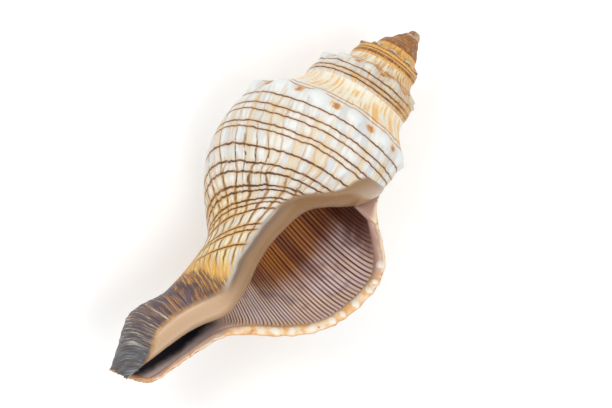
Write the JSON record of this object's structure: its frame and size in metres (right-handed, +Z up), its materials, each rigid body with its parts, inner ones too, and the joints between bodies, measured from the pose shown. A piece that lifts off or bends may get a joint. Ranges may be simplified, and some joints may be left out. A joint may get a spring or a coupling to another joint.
{
  "type": "conch shell",
  "caption": "Spired sea shell with a knobbed shoulder, flared lip, wide ribbed mouth and a long open siphonal canal, lying on its back.",
  "frame": {"origin": "centre of the bounding box at its base, on the small worn flat that the shell rests on", "axes": "+Y along the shell's axis to the apex, +X to the lip, +Z up out of the mouth"},
  "size_m": [0.0674, 0.1398, 0.0544],
  "materials": {
    "shell": "smooth shell, glossy enamel beside the mouth, satin outside with brown spiral lines"
  },
  "bodies": {
    "root": {"shell": "shell"}
  },
  "joints": []
}
